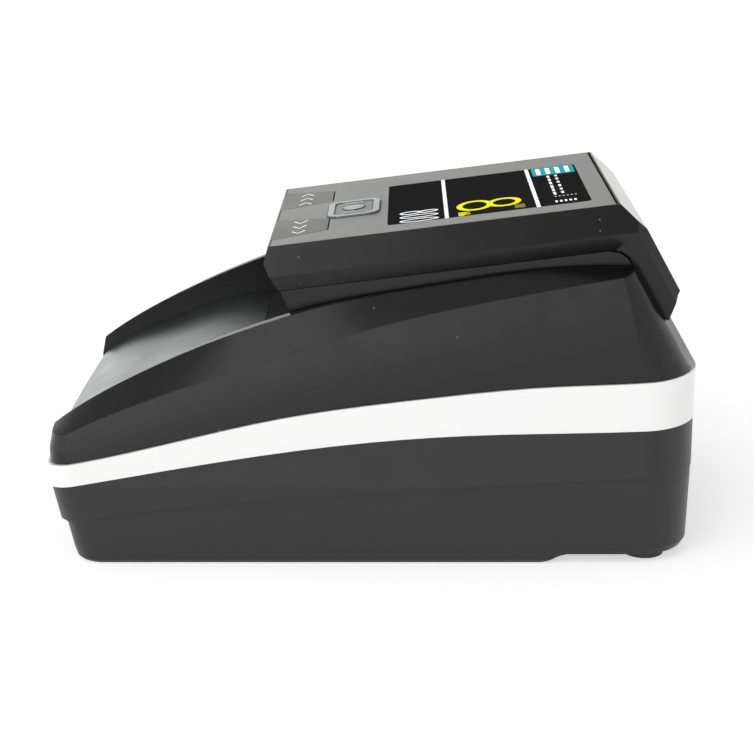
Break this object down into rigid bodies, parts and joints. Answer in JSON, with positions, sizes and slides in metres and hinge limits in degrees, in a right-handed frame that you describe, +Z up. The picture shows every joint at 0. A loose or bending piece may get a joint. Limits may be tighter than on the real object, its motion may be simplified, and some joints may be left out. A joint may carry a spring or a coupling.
{
  "type": "banknote counting machine",
  "caption": "Compact desktop banknote counter and detector: front note tray, hinged sensor head with display and keys, driven rollers, rear exit, light trim band.",
  "frame": {"origin": "on the table, under the centre of the machine's outline", "axes": "+X operator's right, +Y rear, +Z up"},
  "size_m": [0.13, 0.205, 0.1134],
  "materials": {
    "matte_black": "fine matte texture",
    "satin_black": "semi-gloss moulded",
    "gloss_black": "polished",
    "gloss_white": "polished",
    "panel_grey": "satin, finely sprayed",
    "key_grey": "satin",
    "display_glass": "polished tinted window",
    "bright_chrome": "polished",
    "rubber": "matte",
    "steel": "plain",
    "tray_steel": "plain",
    "brass": "plain",
    "pulley_grey": "moulded",
    "bush_white": "moulded",
    "circuit_board": "solder mask",
    "chip_black": "moulded",
    "black_fitting": "moulded",
    "clear_glass": "polished",
    "smoked_lens": "polished"
  },
  "bodies": {
    "casing": {"base_shell": "matte_black", "white_band": "gloss_white", "upper_shell": "satin_black", "entry_tray": "tray_steel", "path_deck": "gloss_black", "rubber_feet": "rubber", "main_board": "circuit_board", "io_board": "circuit_board", "board_chips": "chip_black", "buzzer": "chip_black", "casing_screws": "steel", "board_screws": "steel", "bracket_screws": "steel", "dc_inlet": "black_fitting", "dc_pin": "brass", "update_port": "steel", "switch_housing": "black_fitting", "drive_motor": "steel", "motor_bracket": "steel", "drive_belt": "rubber", "shaft_bushes": "bush_white", "encoder_sensor": "chip_black", "lower_image_sensor": "black_fitting", "lower_sensor_glass": "clear_glass", "entry_sensors": "smoked_lens"},
    "head": {"head_cover": "satin_black", "head_frame": "satin_black", "hinge_pins": "steel", "head_screws": "steel", "upper_image_sensor": "black_fitting", "upper_sensor_glass": "clear_glass", "magnetic_sensor": "steel", "idler_springs": "steel", "top_panel": "panel_grey", "display_window": "display_glass", "lcd_module": "chip_black", "panel_board": "circuit_board", "key_switches": "chip_black", "badge": "bright_chrome"},
    "left_key": {"key_left": "key_grey"},
    "right_key": {"key_right": "key_grey"},
    "rocker": {"power_rocker": "black_fitting"},
    "motor_rotor": {"motor_shaft": "steel", "motor_pulley": "pulley_grey"},
    "feed_drive": {"feed_shaft": "steel", "feed_rollers": "rubber", "feed_pulley": "pulley_grey"},
    "feed_pressure": {"feed_idler_axle": "steel", "feed_idlers": "bush_white"},
    "middle_drive": {"middle_shaft": "steel", "middle_rollers": "rubber", "middle_pulley": "pulley_grey"},
    "middle_pressure": {"middle_idler_axle": "steel", "middle_idlers": "bush_white"},
    "exit_drive": {"exit_shaft": "steel", "exit_rollers": "rubber", "exit_pulley": "pulley_grey", "encoder_disc": "chip_black"},
    "exit_pressure": {"exit_idler_axle": "steel", "exit_idlers": "bush_white"}
  },
  "joints": [
    {"name": "head_hinge", "type": "hinge", "parent": "casing", "child": "head", "pos_m": [0, 0.0885, 0.068], "axis": [-1, 0, 0], "range_deg": [0, 60]},
    {"name": "left_key_press", "type": "slide", "parent": "head", "child": "left_key", "axis": [0, 0.1236, -0.9923], "range_m": [0, 0.001], "stiffness_N_per_m": 900, "springref_m": -0.0005},
    {"name": "right_key_press", "type": "slide", "parent": "head", "child": "right_key", "axis": [0, 0.1236, -0.9923], "range_m": [0, 0.001], "stiffness_N_per_m": 900, "springref_m": -0.0005},
    {"name": "power_switch", "type": "hinge", "parent": "casing", "child": "rocker", "pos_m": [-0.034, 0.0975, 0.024], "axis": [-1, 0, 0], "range_deg": [0, 14]},
    {"name": "feed_spin", "type": "hinge", "parent": "casing", "child": "feed_drive", "pos_m": [0, -0.002, 0.0529], "axis": [1, 0, 0], "continuous": true},
    {"name": "middle_spin", "type": "hinge", "parent": "casing", "child": "middle_drive", "pos_m": [0, 0.034, 0.0529], "axis": [1, 0, 0], "continuous": true},
    {"name": "exit_spin", "type": "hinge", "parent": "casing", "child": "exit_drive", "pos_m": [0, 0.07, 0.0529], "axis": [1, 0, 0], "continuous": true},
    {"name": "motor_spin", "type": "hinge", "parent": "casing", "child": "motor_rotor", "pos_m": [-0.055, 0.034, 0.025], "axis": [1, 0, 0], "continuous": true},
    {"name": "feed_pressure_spin", "type": "hinge", "parent": "head", "child": "feed_pressure", "pos_m": [0, -0.002, 0.06825], "axis": [1, 0, 0], "continuous": true},
    {"name": "middle_pressure_spin", "type": "hinge", "parent": "head", "child": "middle_pressure", "pos_m": [0, 0.034, 0.06825], "axis": [1, 0, 0], "continuous": true},
    {"name": "exit_pressure_spin", "type": "hinge", "parent": "head", "child": "exit_pressure", "pos_m": [0, 0.07, 0.06825], "axis": [1, 0, 0], "continuous": true}
  ],
  "couplings": [
    {"joint": "middle_spin", "follows": "feed_spin", "ratio": 1},
    {"joint": "exit_spin", "follows": "feed_spin", "ratio": 1},
    {"joint": "motor_spin", "follows": "feed_spin", "ratio": 1.8182},
    {"joint": "feed_pressure_spin", "follows": "feed_spin", "ratio": -1.5},
    {"joint": "middle_pressure_spin", "follows": "feed_spin", "ratio": -1.5},
    {"joint": "exit_pressure_spin", "follows": "feed_spin", "ratio": -1.5}
  ]
}
